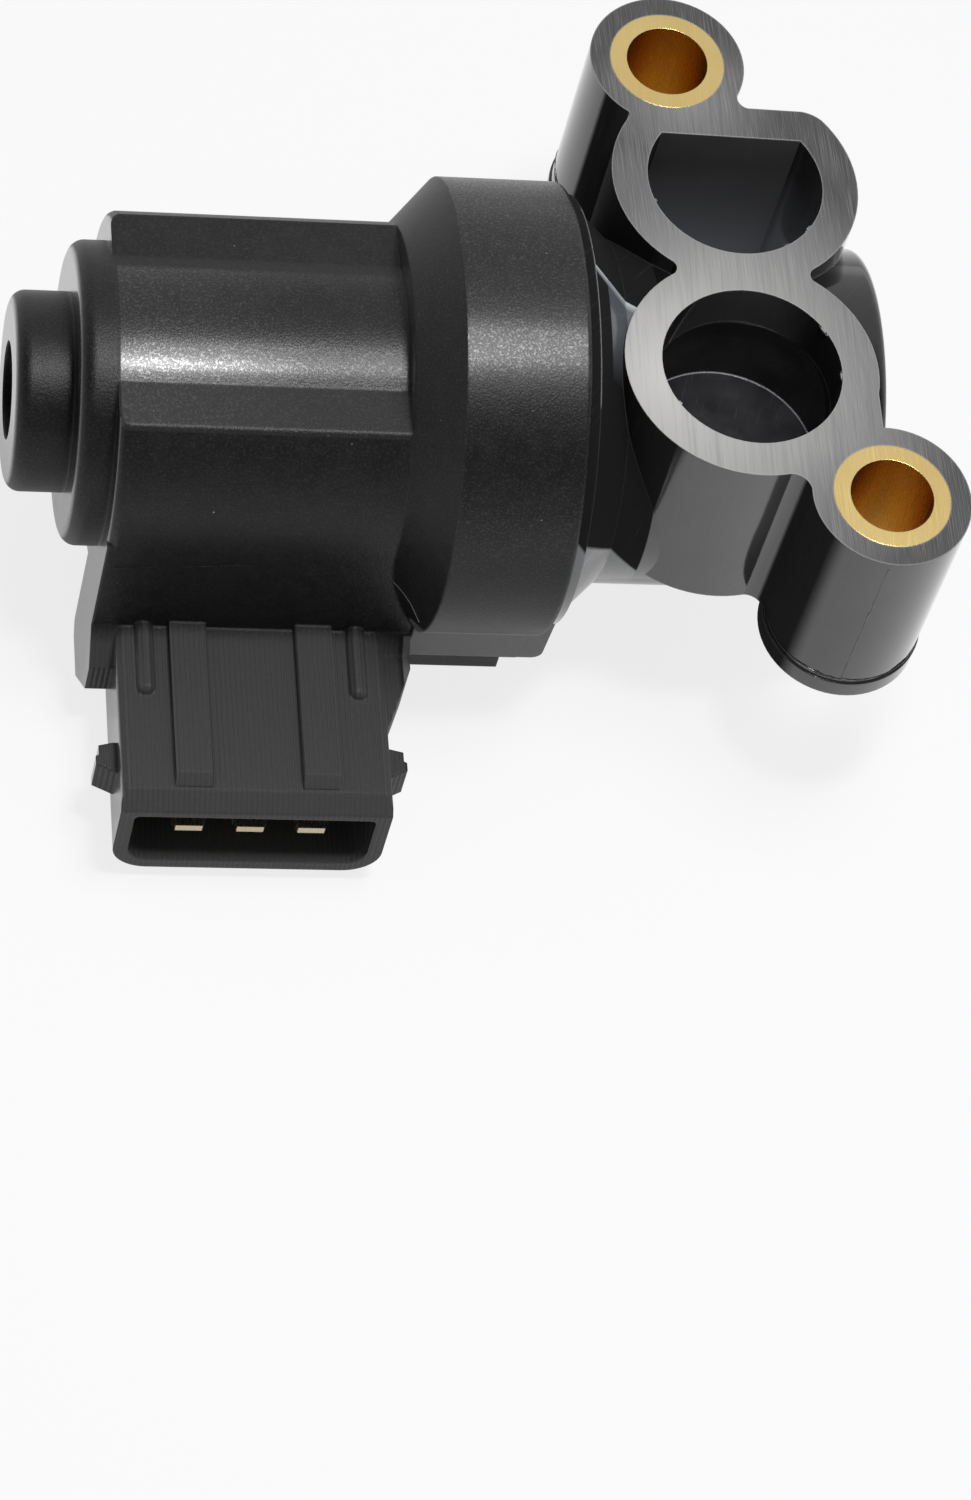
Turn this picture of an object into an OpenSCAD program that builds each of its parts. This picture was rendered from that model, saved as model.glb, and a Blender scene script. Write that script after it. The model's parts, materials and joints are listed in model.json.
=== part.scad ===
// Idle air control valve: a two-coil rotary actuator with a three-way socket,
// carrying a valve body with two air ports and two fixing sleeves.
// The origin is the centre of the round port on the mating face, +Z leaves
// that face, and +X runs along the motor axis towards the closed chamber end.

/* [Mating face] */
// Depth of the motor axis under the mating face
axis_depth = 14.95; // [14.8:0.05:15.6]
// Distance from the round port to the motor axis across the face
axis_offset = 5.3; // [4.6:0.1:6]
// Bore radius of the round port
port_r = 7.33; // [6.8:0.01:7.6]
// Wall of the round port's tube
port_wall = 3.02; // [2.4:0.01:3.4]
// Length of the machined part of the round port's bore
port_land = 4.3; // [3.6:0.05:4.3]
// Depth to which the round port is moulded
port_depth = 12.5; // [12.2:0.1:12.7]
// Amount by which the moulded part narrows under the machined part
port_draft = 0.12; // [0.05:0.01:0.2]
// Distance between the two port centres
port_pitch = 18.2; // [18:0.1:18.6]
// Turn of the row of ports about the face's normal
port_turn = -1.2; // [-2:0.1:0]
// Bore radius of the D-shaped port
dport_r = 7.26; // [6.6:0.01:7.4]
// Distance from the D-shaped port's centre to its flat
dport_flat = 4.4; // [4:0.1:5]
// Wall outside the D-shaped port's flat
dflat_wall = 3; // [2.6:0.1:3.3]
// Wall of the D-shaped port's duct
dport_wall = 2.95; // [2.4:0.01:3.2]
// Depth of the D-shaped port
dport_depth = 16; // [14:0.1:16.6]
// Depth of both port tubes under the mating face
tube_depth = 18; // [17:0.1:19]

/* [Fixing sleeves] */
// Place of the upper fixing hole along X
upper_x = -4.2; // [-4.6:0.1:-3.8]
// Place of the upper fixing hole along Y
upper_y = 30; // [29.6:0.1:30.4]
// Place of the lower fixing hole along X
lower_x = 10.1; // [9.7:0.1:10.5]
// Place of the lower fixing hole along Y
lower_y = -11.9; // [-12.3:0.1:-11.5]
// Inside radius of the metal sleeves
sleeve_bore_r = 3.375; // [3.2:0.005:3.6]
// Outside radius of the metal sleeves
sleeve_r = 4.75; // [4.4:0.05:4.9]
// Plastic wall round a sleeve
boss_wall = 1.7; // [1.4:0.1:2]
// Height of the wider foot at the bottom of a boss
foot_h = 1.7; // [1.4:0.1:2]
// Amount by which the foot is wider than the boss
foot_over = 0.15; // [0.1:0.05:0.3]
// Length of a sleeve and of the boss round it
boss_depth = 19.6; // [18.4:0.1:22]

/* [Rotary chamber] */
// Bore radius of the chamber in which the slide turns
chamber_r = 10.6; // [10.4:0.05:10.8]
// Plastic wall round the chamber
chamber_wall = 3.5; // [2.8:0.1:3.5]
// Distance from the round port to the closed end of the chamber
chamber_end = 11.6; // [11.4:0.1:12.4]
// Thickness of the chamber's closed end
end_wall = 2; // [1.6:0.1:2.2]
// Distance from the round port back to the joint with the motor
joint_back = 13.5; // [13.2:0.1:14.5]
// Thickness of the joint disc that lies on the collar's rim
joint_disc = 0.9; // [0.7:0.1:1.4]
// Radius of the joint disc
joint_disc_r = 17.6; // [17.2:0.1:18]
// Length of the flare between the joint disc and the chamber
flare_len = 3; // [2:0.1:3.4]
// Length of the spigot that enters the collar
spigot_len = 4; // [3.6:0.1:4.4]
// Gap between the spigot and the collar's bore
spigot_gap = 0.1; // [0.05:0.01:0.2]

/* [Rotary slide] */
// Running gap between the slide and the chamber's bore
slide_gap = 0.08; // [0.05:0.01:0.1]
// Gap between the slide and the chamber's closed end
slide_end_gap = 0.3; // [0.2:0.05:0.4]
// Length of the slide's drum
slide_len = 21.8; // [20.8:0.1:22.2]
// Wider radius of the slide's pocket over the port's radius
pocket_over = 0.57; // [0.3:0.01:0.7]
// Radius of the slide's hub
hub_r = 4.5; // [4:0.1:5]
// Degrees by which the slide can turn to open
turn_open = 45; // [30:1:50]
// Degrees by which the slide can turn to close
turn_close = 15; // [5:1:20]
// Radius on which the stop pin stands
stop_ring_r = 7.5; // [7.2:0.1:7.6]
// Radius of the stop pin
stop_r = 1; // [0.8:0.05:1.1]

/* [Motor housing] */
// Radius of the collar
collar_r = 18.55; // [18.2:0.05:19]
// Length of the collar
collar_len = 10; // [9.8:0.1:10.8]
// Plastic wall of the collar
collar_wall = 2.55; // [2.2:0.05:2.6]
// Length of the cone between the collar and the body
cone_len = 3.5; // [2.8:0.1:3.8]
// Radius of the body
body_r = 14.7; // [14.5:0.1:15.2]
// Length of the body
body_len = 23.2; // [23:0.1:24]
// Height of the body's top flat over the motor axis
body_flat = 10.7; // [10.4:0.1:11]
// Radius of the barrel that shows through the top flat
barrel_r = 12.27; // [12:0.01:12.6]
// Radius of the ring at the motor's end
ring_r = 12.3; // [12:0.1:12.8]
// Length of the ring at the motor's end
ring_len = 2.9; // [2.8:0.1:3.6]
// Radius of the end boss
nub_r = 8.1; // [7.6:0.1:8.6]
// Length of the end boss
nub_len = 4.6; // [4.2:0.1:5]
// Radius of the blind hole in the end boss
nub_hole_r = 4; // [3.6:0.1:4.4]
// Depth of the blind hole in the end boss
nub_hole_depth = 4; // [3:0.1:4.2]

/* [Socket] */
// Distance from the collar's rim back to the middle of the socket
socket_back = 23.8; // [23.4:0.1:24.2]
// Height of the socket's top face under the motor axis
socket_drop = 11.6; // [11.4:0.1:12]
// Outside width of the socket
socket_w = 22; // [21.8:0.1:22.4]
// Outside height of the socket
socket_h = 10; // [9.8:0.1:10.4]
// Distance from the motor axis to the socket's mouth
socket_reach = 31.5; // [30:0.1:33]
// Plastic at each side of the socket's cavity
cavity_side = 1.2; // [1.1:0.05:1.4]
// Height of the socket's cavity
cavity_h = 6.9; // [6.6:0.1:7.2]
// Depth of the socket's cavity
cavity_depth = 13.5; // [12:0.1:14]
// Plastic over the cavity on the side of the ribs
cavity_roof = 1.85; // [1.7:0.05:2]
// Distance between two terminals
pin_pitch = 5; // [4.8:0.1:5.2]
// Width of a terminal's blade
blade_w = 2.8; // [2.4:0.1:3]
// Thickness of a terminal's blade
blade_t = 0.8; // [0.6:0.1:1]
// Distance by which the blades stop short of the mouth
blade_short = 1; // [0.8:0.1:2.5]
// Width of the two flat ribs on the socket
rib_w = 3; // [2.6:0.1:3.4]
// Height of the two flat ribs on the socket
rib_h = 0.8; // [0.5:0.1:1]
// Distance between the two flat ribs
rib_pitch = 10.3; // [10:0.1:10.6]
// Radius of the two round ridges on the socket
ridge_r = 0.75; // [0.6:0.05:0.85]
// Distance between the two round ridges
ridge_pitch = 17.4; // [17.2:0.1:17.8]
// Distance by which the ridges stop short of the mouth
ridge_short = 11; // [10:0.1:12]
// Bevel of the mouth along the socket
bevel_back = 1.6; // [1.2:0.1:1.8]
// Bevel of the mouth across its wall
bevel_down = 1.1; // [0.8:0.1:1.3]
// Distance by which an ear stands out from the socket's side
ear_out = 1.7; // [1.4:0.1:1.9]
// Length of an ear along the socket
ear_len = 2.8; // [2.4:0.1:3.4]
// Distance from the mouth to the ears
ear_back = 4.2; // [3.8:0.1:5]
// Height of an ear
ear_h = 3.5; // [3:0.1:4]
// Distance of the ears under the socket's top face
ear_down = 2.2; // [1.8:0.1:2.6]

/* [Motor inside] */
// Radius of the rotor's shaft
shaft_r = 2; // [1.9:0.05:2.1]
// Outside radius of a ball bearing
bearing_r = 5.5; // [5.3:0.1:5.7]
// Width of a ball bearing
bearing_w = 4; // [3.8:0.1:4]
// Radius of a bearing's balls
ball_r = 1; // [0.9:0.05:1.05]
// Outside radius of the steel flux casing
casing_r = 11; // [10.8:0.05:11.1]
// Thickness of the flux casing
casing_t = 1.1; // [0.9:0.05:1.2]
// Radius of the magnet ring
magnet_r = 6.5; // [6.3:0.05:6.55]
// Inside radius of the magnet ring
magnet_bore_r = 4; // [3.6:0.1:4.4]
// Air gap between the magnet and the claw poles
air_gap = 0.2; // [0.15:0.05:0.25]
// Thickness of the claw pole sheet
claw_t = 0.6; // [0.5:0.05:0.65]
// Thickness of the front plate
plate_t = 4.8; // [4.6:0.1:5]

/* [Hidden] */
ball_count = 7;
$fn = 96;
eps = 0.01;
// Overlap of a fillet with the round wall that it meets
bite = 0.03;
// Rounded edges of the mouldings
soft_edge = 0.8;
ring_edge = 1.2;
collar_edge = 0.4;

x_rim = -joint_back;
x_cone = x_rim - collar_len;
x_body = x_cone - cone_len;
x_ring = x_body - body_len;
x_nub = x_ring - ring_len;
x_end = x_nub - nub_len;
x_spigot = x_rim - spigot_len;
x_plate = x_spigot - plate_t;
end_seat = 2.7;
bore_start = x_ring + end_seat;
washer_t = 0.4;
seat_start = bore_start - bearing_w - washer_t;
shaft_end = 0.6;
shaft_room = 0.3;
shaft_start = seat_start - shaft_end;
yoke_t = 1;
stack_len = 22;
bobbin_len = (stack_len - 4 * yoke_t) / 2;
casing_in = casing_r - casing_t;
coil_room = 0.3;
coil_r = casing_in - coil_room;
claw_in = magnet_r + air_gap;
claw_out = claw_in + claw_t;
bobbin_wall = 0.8;
magnet_end_gap = 1.9;
magnet_start = bore_start + magnet_end_gap;
magnet_end = bore_start + stack_len - magnet_end_gap;

upper = [upper_x, upper_y];
lower = [lower_x, lower_y];
boss_r = sleeve_r + boss_wall;
lobe_r = port_r + port_wall;
dlobe_r = dport_r + dport_wall;
dport = port_pitch * [-sin(port_turn), cos(port_turn)];
chamber_out = chamber_r + chamber_wall;
collar_bore = collar_r - collar_wall;
spigot_r = collar_bore - spigot_gap;
seal_t = 1.5;
seal_bottom = collar_bore - seal_t;
seal_back = 0.7;
seal_groove = 2.2;
lobe_fillet = 0.8;
boss_fillet = 1.5;
web_fillet = 0.4;
flat_corner = 3;
// The wall that stands straight between the round lobe and the lower boss
side_web = 4;
side_web_back = 0.5;
disc_step = 0.6;

slide_r = chamber_r - slide_gap;
slide_end = chamber_end - end_wall - slide_end_gap;
slide_start = slide_end - slide_len;
hub_len = 1.8;
hub_start = slide_start - hub_len;
shaft_step_r = 1.6;
pocket_r = port_r + pocket_over;

slide_floor = 3;
slide_shell = 1.5;
relief_from = -155;
relief_to = -40;
stop_groove = 3;
pin_gap = 0.1;
pin_seat = 2.8;
pin_reach = 2.6;

bearing_pitch = (shaft_r + bearing_r) / 2;
groove_r = ball_r + 0.03;
land = 0.6;
inner_race_r = bearing_pitch - land;
outer_race_in = bearing_pitch + land;
cage_t = 0.6;
cage_edge = 0.3;
clip_w = 0.5;
clip_in = 0.35;
clip_out = 1.2;
front_race = x_plate;
rear_race = bore_start - bearing_w;
seal_r = 4.8;
seal_len = 2.4;
seal_floor = 0.2;
boss_len = 2.8;
plate_bore = shaft_r + 1.9;
shaft_gap = 0.05;
claw_gap = 0.8;
claw_half = 35;

socket_x = x_rim - socket_back;
mouth_y = axis_offset - socket_reach;
top_z = -axis_depth - socket_drop;
cavity_w = socket_w - 2 * cavity_side;
blade_z = top_z - cavity_roof - cavity_h / 2;
side_wall = 0.8;
blade_tip = 0.3;
blade_point = 0.7;
tail_gap = 0.1;

// Leg that carries the socket: distances from the motor axis
leg_back = 7.8;
leg_front = 17.3;
leg_shelf = 14.2;
leg_foot = 23;
leg_nose = 17.4;
leg_toe = 12.7;
leg_heel = 8.8;
leg_right = x_cone - 0.4;
gusset_side = 23;
gusset_top = 13;
gusset_foot = 19;

// Pad and tab under the collar: distances from the motor axis
pad_front = 15;
pad_top = 8.5;
pad_foot = 14.5;
pad_slant = 1.2;
tab_front = 14;
tab_foot = 17.7;
tab_len = 8.2;

// Puts local z along the motor axis, starting at the given x
module on_axis(x) translate([x, axis_offset, -axis_depth]) rotate([0, 90, 0]) children();

// Round bar on the motor axis
module bar(x0, x1, r) on_axis(x0) cylinder(h = x1 - x0, r = r);

// Ring on the motor axis
module ring(x0, x1, r_in, r_out) {
    on_axis(x0) rotate_extrude() translate([r_in, 0]) square([r_out - r_in, x1 - x0]);
}

// Part of a ring; angles run from +Y towards +Z
module sector(x0, x1, r_in, r_out, from, to) {
    on_axis(x0)
        rotate([0, 0, from + 90])
            rotate_extrude(angle = to - from)
                translate([r_in, 0])
                    square([r_out - r_in, x1 - x0]);
}

// Disc with one rounded edge, on the side where x is lower
module disc_round_low(x0, x1, r, e) {
    on_axis(x0) rotate_extrude() {
        square([r - e, x1 - x0]);
        translate([0, e]) square([r, x1 - x0 - e]);
        translate([r - e, e]) circle(e);
    }
}

// Disc with one rounded edge, on the side where x is higher
module disc_round_high(x0, x1, r, e) {
    on_axis(x0) rotate_extrude() {
        square([r - e, x1 - x0]);
        square([r, x1 - x0 - e]);
        translate([r - e, x1 - x0 - e]) circle(e);
    }
}

// Cylinder that hangs down from the mating face
module down(p, r, depth) translate([p[0], p[1], -depth]) cylinder(h = depth, r = r);

// Centre of the fillet that touches two circles, on side s of the line a to b
function fillet_at(a, ra, b, rb, f, s) =
    let (d = norm(b - a), p = ra + f, q = rb + f, k = (d * d + p * p - q * q) / (2 * d), u = (b - a) / d)
    a + k * u + s * sqrt(p * p - k * k) * [-u[1], u[0]];

// Fills the notch between two round bosses with a fillet
module blend(a, ra, b, rb, f, s, depth) {
    m = fillet_at(a, ra, b, rb, f, s);
    translate([0, 0, -depth]) linear_extrude(depth) difference() {
        polygon([a, m, b]);
        translate(m) circle(f + bite);
    }
}

// The D-shaped port's duct seen along Z, with a flat side that ends in a round corner
module dlobe() {
    flat = dport_flat + dflat_wall;
    corner = [sqrt(pow(dlobe_r - flat_corner, 2) - pow(flat - flat_corner, 2)), flat - flat_corner];
    rotate(port_turn) translate([0, port_pitch]) difference() {
        circle(dlobe_r);
        translate([-2 * dlobe_r, flat]) square([4 * dlobe_r, dlobe_r]);
        difference() {
            polygon([corner, [corner[0], dlobe_r], [2 * dlobe_r, dlobe_r], 2 * corner]);
            translate(corner) circle(flat_corner + bite);
        }
    }
}

module dport_hole() {
    rotate(port_turn) translate([0, port_pitch]) difference() {
        circle(dport_r);
        translate([-2 * dport_r, dport_flat]) square([4 * dport_r, dport_r]);
    }
}

// Fillet between the upper boss and the duct's flat side
module upper_web() {
    f = 1;
    flat_y = port_pitch + dport_flat + dflat_wall;
    along = [cos(port_turn), sin(port_turn)];
    c = [upper * along, upper * [-along[1], along[0]]];
    m = [c[0] + sqrt(pow(boss_r + f, 2) - pow(c[1] - flat_y - f, 2)), flat_y + f];
    rotate(port_turn) difference() {
        polygon([c, m, [m[0], flat_y - f], [c[0], flat_y - f]]);
        translate(m) circle(f + bite);
    }
}

module valve_outside() {
    disc_round_high(x_rim, chamber_end, chamber_out, soft_edge);
    bar(x_rim, x_rim + joint_disc, joint_disc_r);
    on_axis(x_rim + joint_disc) cylinder(h = flare_len, r1 = joint_disc_r - disc_step, r2 = chamber_out);
    bar(x_spigot, x_rim, spigot_r);
    down([0, 0], lobe_r, tube_depth);
    translate([0, 0, -tube_depth]) linear_extrude(tube_depth) dlobe();
    translate([0, 0, -tube_depth]) linear_extrude(tube_depth) upper_web();
    for (p = [upper, lower]) {
        down(p, boss_r, boss_depth);
        translate([p[0], p[1], -boss_depth]) cylinder(h = foot_h, r = boss_r + foot_over);
    }
    blend([0, 0], lobe_r, dport, dlobe_r, lobe_fillet, 1, tube_depth);
    blend([0, 0], lobe_r, dport, dlobe_r, lobe_fillet, -1, tube_depth);
    blend(dport, dlobe_r, upper, boss_r, web_fillet, 1, tube_depth);
    blend([0, 0], lobe_r, lower, boss_r, boss_fillet, -1, tube_depth);
    translate([lower_x - side_web, lower_y, -tube_depth])
        cube([side_web, -lower_y - side_web_back, tube_depth]);
}

module valve_body() {
    color("#1b1b1d") difference() {
        valve_outside();
        bar(x_spigot - eps, chamber_end - end_wall, chamber_r);
        translate([0, 0, -port_land]) cylinder(h = port_land + eps, r = port_r);
        translate([0, 0, -port_depth])
            cylinder(h = port_depth - port_land + eps, r1 = port_r - port_draft, r2 = port_r - bite);
        translate([0, 0, -dport_depth]) linear_extrude(dport_depth + eps) dport_hole();
        for (p = [upper, lower])
            translate([p[0], p[1], -boss_depth - eps]) cylinder(h = boss_depth + 2 * eps, r = sleeve_r);
        ring(x_rim - seal_back - seal_groove, x_rim - seal_back, seal_bottom, collar_bore + eps);
    }
}

module sleeve(p) {
    color("#c9a24a") translate([p[0], p[1], -boss_depth]) difference() {
        cylinder(h = boss_depth, r = sleeve_r);
        translate([0, 0, -eps]) cylinder(h = boss_depth + 2 * eps, r = sleeve_bore_r);
    }
}

module upper_sleeve() sleeve(upper);
module lower_sleeve() sleeve(lower);

// The slide: a drum with a cross pocket that always faces the round port
module rotary_slide() {
    pin_room = stop_r + pin_gap;
    pin_deg = asin(pin_room / stop_ring_r);
    color("#d8d3c4") difference() {
        union() {
            bar(slide_start, slide_end, slide_r);
            bar(hub_start, slide_start + 1, hub_r);
        }
        translate([0, 0, -port_depth]) cylinder(h = port_depth, r = pocket_r);
        bar(hub_start - eps, slide_end - slide_floor, shaft_step_r);
        sector(slide_start - eps, slide_end - slide_floor, hub_r, slide_r - slide_shell,
               relief_from, relief_to);
        sector(slide_start - eps, slide_start + stop_groove, stop_ring_r - pin_room, stop_ring_r + pin_room,
               -turn_close - pin_deg, turn_open + pin_deg);
    }
}

module rotor_shaft() {
    ring_at = front_race + bearing_w;
    color("#b9bcc0") difference() {
        union() {
            bar(shaft_start, hub_start, shaft_r);
            bar(hub_start, slide_end - slide_floor - shaft_room, shaft_step_r);
        }
        ring(ring_at, ring_at + clip_w, shaft_r - clip_in, shaft_r + 1);
    }
}

module magnet_ring() {
    color("#3a3a3e") ring(magnet_start, magnet_end, magnet_bore_r, magnet_r);
}

module magnet_hub() {
    color("#8d8f93") difference() {
        union() {
            bar(magnet_start, magnet_end, magnet_bore_r);
            bar(bore_start, x_plate, inner_race_r - land / 3);
        }
        bar(bore_start - eps, x_plate + eps, shaft_r);
    }
}

module flux_casing() {
    slot_len = 2 * pin_pitch + blade_w + 1;
    color("#9a9ca0") difference() {
        ring(bore_start, x_plate, casing_in, casing_r);
        translate([socket_x - slot_len / 2, axis_offset - casing_r - 1, -axis_depth - blade_t])
            cube([slot_len, casing_t + 1.5, 2 * blade_t]);
    }
}

// Start of coil unit 0 or 1 along the axis, past its first yoke
function bobbin_start(i) = bore_start + yoke_t + i * (bobbin_len + 2 * yoke_t);

module bobbin(i) {
    s = bobbin_start(i);
    color("#d9d4c6") {
        on_axis(s) rotate_extrude() {
            translate([claw_out, 0]) square([bobbin_wall, bobbin_len]);
            for (z = [0, bobbin_len - bobbin_wall])
                translate([claw_out, z]) square([casing_in - claw_out, bobbin_wall]);
        }
    }
}

module coil(i) {
    s = bobbin_start(i);
    color("#a5562b") ring(s + bobbin_wall, s + bobbin_len - bobbin_wall, claw_out + bobbin_wall, coil_r);
}

module rear_bobbin() bobbin(0);
module front_bobbin() bobbin(1);
module rear_coil() coil(0);
module front_coil() coil(1);

// Claw pole yokes: 1 and 2 close the rear coil, 3 and 4 the front coil
module claw_yoke(i) {
    s = bobbin_start(i > 2 ? 1 : 0);
    low = i % 2 == 1;
    plate = low ? s - yoke_t : s + bobbin_len;
    claw_len = bobbin_len - claw_gap;
    claw = low ? s - yoke_t / 2 : s + bobbin_len - claw_len;
    turn = low ? 0 : 90;
    color("#8f9195") union() {
        ring(plate, plate + yoke_t, claw_in, casing_in);
        for (a = [turn, turn + 180])
            sector(claw, claw + claw_len + yoke_t / 2, claw_in, claw_out, a - claw_half, a + claw_half);
    }
}

module outer_race(x) {
    color("#c3c6ca") difference() {
        ring(x, x + bearing_w, outer_race_in, bearing_r);
        race_groove(x);
    }
}

module inner_race(x) {
    color("#c3c6ca") difference() {
        ring(x, x + bearing_w, shaft_r, inner_race_r);
        race_groove(x);
    }
}

module race_groove(x) {
    on_axis(x + bearing_w / 2) rotate_extrude() translate([bearing_pitch, 0]) circle(groove_r);
}

module ball(x, i) {
    color("#d6d8da") on_axis(x + bearing_w / 2)
        rotate([0, 0, i * 360 / ball_count]) translate([bearing_pitch, 0, 0]) sphere(ball_r);
}

module ball_cage(x) {
    half = ball_r + cage_edge;
    middle = x + bearing_w / 2;
    color("#c9a24a") difference() {
        ring(middle - half, middle + half, bearing_pitch - cage_t / 2, bearing_pitch + cage_t / 2);
        for (i = [1:ball_count])
            on_axis(middle)
                rotate([0, 0, i * 360 / ball_count])
                    translate([inner_race_r, 0, 0])
                        rotate([0, 90, 0])
                            cylinder(h = outer_race_in - inner_race_r, r = groove_r);
    }
}

module front_plate() {
    color("#a7a9ad") difference() {
        union() {
            bar(x_plate, x_spigot, spigot_r);
            bar(x_spigot, x_spigot + boss_len, stop_ring_r - stop_r - pin_gap);
            ring(bore_start + stack_len, x_plate, coil_r - 1, casing_in);
        }
        bar(x_plate - eps, x_plate + bearing_w, bearing_r);
        bar(x_plate, x_spigot + boss_len + eps, plate_bore);
        bar(x_spigot + seal_floor, x_spigot + boss_len + eps, seal_r);
        on_axis(x_spigot - pin_seat)
            rotate([0, 0, 90])
                translate([stop_ring_r, 0, 0])
                    cylinder(h = plate_t, r = stop_r);
    }
}

module stop_pin() {
    color("#b9bcc0") on_axis(x_spigot - pin_seat)
        rotate([0, 0, 90])
            translate([stop_ring_r, 0, 0])
                cylinder(h = slide_start + pin_reach - x_spigot + pin_seat, r = stop_r);
}

module shaft_seal() {
    color("#26262a") ring(x_spigot + seal_floor, x_spigot + seal_floor + seal_len, shaft_r + shaft_gap, seal_r);
}

module body_seal() {
    color("#26262a") on_axis(x_rim - seal_back - seal_groove / 2)
        rotate_extrude() translate([collar_bore - seal_t / 2, 0]) circle(seal_t / 2);
}

module retaining_ring() {
    ring_at = front_race + bearing_w;
    color("#6d6f73") sector(ring_at, ring_at + clip_w, shaft_r - clip_in, shaft_r + clip_out, -60, 240);
}

module preload_washer() {
    color("#9a9ca0") ring(seat_start, seat_start + washer_t, shaft_r + 2.2, bearing_r);
}

// Flat blade in the socket, with a tail that climbs inside the wall to the coils
module terminal(i) {
    x = socket_x + (i - 2) * pin_pitch;
    tail_y = axis_offset - body_r + side_wall;
    blade_len = tail_y + blade_t - mouth_y - blade_short;
    color("#cbb98a") translate([x, 0, 0]) {
        translate([0, tail_y + blade_t, blade_z - blade_t / 2]) linear_extrude(blade_t)
            polygon([[-blade_w / 2, 0], [blade_w / 2, 0], [blade_w / 2, blade_point - blade_len],
                     [blade_w / 2 - blade_tip, -blade_len], [blade_tip - blade_w / 2, -blade_len],
                     [-blade_w / 2, blade_point - blade_len]]);
        translate([-blade_w / 2, tail_y, blade_z - blade_t / 2])
            cube([blade_w, blade_t, -axis_depth - blade_z + blade_t]);
        translate([-blade_w / 2, tail_y, -axis_depth - blade_t / 2])
            cube([blade_w, body_r - side_wall - casing_in - tail_gap, blade_t]);
    }
}

// Section of the socket's outside seen along Y, with its mouth's corners rounded
module socket_outline() {
    w = socket_w / 2;
    top_e = 0.8;
    low_e = 3;
    translate([low_e - w, -socket_h]) square([socket_w - 2 * low_e, socket_h]);
    translate([-w, low_e - socket_h]) square([socket_w, socket_h - low_e - top_e]);
    translate([top_e - w, -top_e - 1]) square([socket_w - 2 * top_e, top_e + 1]);
    for (s = [-1, 1]) {
        translate([s * (w - low_e), low_e - socket_h]) circle(low_e);
        translate([s * (w - top_e), -top_e]) circle(top_e);
    }
}

module cavity_outline() {
    w = cavity_w / 2;
    top_e = 0.5;
    low_e = 1.8;
    translate([low_e - w, -cavity_h]) square([cavity_w - 2 * low_e, cavity_h]);
    translate([-w, low_e - cavity_h]) square([cavity_w, cavity_h - low_e - top_e]);
    translate([top_e - w, -top_e - 1]) square([cavity_w - 2 * top_e, top_e + 1]);
    for (s = [-1, 1]) {
        translate([s * (w - low_e), low_e - cavity_h]) circle(low_e);
        translate([s * (w - top_e), -top_e]) circle(top_e);
    }
}

// Extrudes an outline in X and Z away from the mouth
module along_socket(drop, from, len) {
    translate([socket_x, mouth_y + from + len, top_z - drop]) rotate([90, 0, 0]) linear_extrude(len) children();
}

// Small hooks on the socket's sides that the plug's wire clip snaps over
module socket_ears() {
    root = 0.5;
    tip = root + ear_out;
    step = tip - 0.25;
    for (s = [0, 1])
        translate([socket_x, mouth_y + ear_back, top_z - ear_down - ear_h]) mirror([s, 0, 0])
            translate([socket_w / 2 - root, 0, 0]) linear_extrude(ear_h)
                polygon([[0, 0], [root, 0], [tip, 0.3 * ear_len], [tip, 0.55 * ear_len], [step, 0.6 * ear_len],
                         [step, 0.9 * ear_len], [1.6 * root, ear_len], [0, ear_len]]);
}

module socket() {
    root = socket_reach - body_r;
    rib_start = bevel_back + 0.2;
    along_socket(0, 0, root) socket_outline();
    for (s = [-1, 1]) {
        translate([socket_x + s * rib_pitch / 2 - rib_w / 2, mouth_y + rib_start, top_z - 1])
            cube([rib_w, root - rib_start + side_wall, rib_h + 1]);
        translate([socket_x + s * ridge_pitch / 2, mouth_y + ridge_short, top_z]) {
            rotate([-90, 0, 0]) cylinder(h = root - ridge_short + side_wall, r = ridge_r);
            sphere(ridge_r);
        }
    }
    socket_ears();
}

// Wedge that is cut off the top edge of the mouth
module mouth_bevel() {
    past = bevel_back / bevel_down;
    translate([socket_x - socket_w, mouth_y, top_z]) rotate([90, 0, 90]) linear_extrude(2 * socket_w)
        polygon([[-3, 1], [bevel_back + past, 1], [-past, -bevel_down - 1], [-3, -bevel_down - 1]]);
}

// Block under the body that carries the socket
module socket_leg() {
    translate([x_ring, axis_offset, -axis_depth]) rotate([90, 0, 90]) linear_extrude(leg_right - x_ring)
        polygon([[-leg_back, 0], [-body_r, 0], [-body_r, -socket_drop], [-leg_front, -leg_shelf],
                 [-leg_front, -leg_nose], [-leg_toe, -leg_foot], [-leg_heel, -leg_foot],
                 [-leg_back, 1 - leg_foot]]);
}

// Web between the leg and the socket's right side
module gusset() {
    side = socket_x + socket_w / 2 - 1;
    translate([0, axis_offset, -axis_depth - gusset_foot]) linear_extrude(gusset_foot - gusset_top)
        polygon([[side, -body_r + 1], [leg_right, -body_r + 1], [leg_right, -leg_front],
                 [side + 1.2, -gusset_side], [side, -gusset_side]]);
}

// Stiffening pad under the collar, with a slanted right end, and the tab under it
module collar_pad() {
    rotate([90, 0, 90]) translate([axis_offset - pad_front, -axis_depth - pad_foot, leg_right])
        linear_extrude(x_rim - pad_slant - leg_right) square([pad_front / 2, pad_foot - pad_top]);
    translate([x_rim - pad_slant, axis_offset - pad_front, -axis_depth - pad_foot]) rotate([-90, 0, 0])
        linear_extrude(pad_front / 2)
            polygon([[-1, 0], [0, 0], [pad_slant, pad_top - pad_foot], [-1, pad_top - pad_foot]]);
    translate([leg_right, axis_offset - tab_front, -axis_depth - tab_foot])
        cube([tab_len, tab_front / 2, tab_foot - pad_foot + 2]);
}

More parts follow.
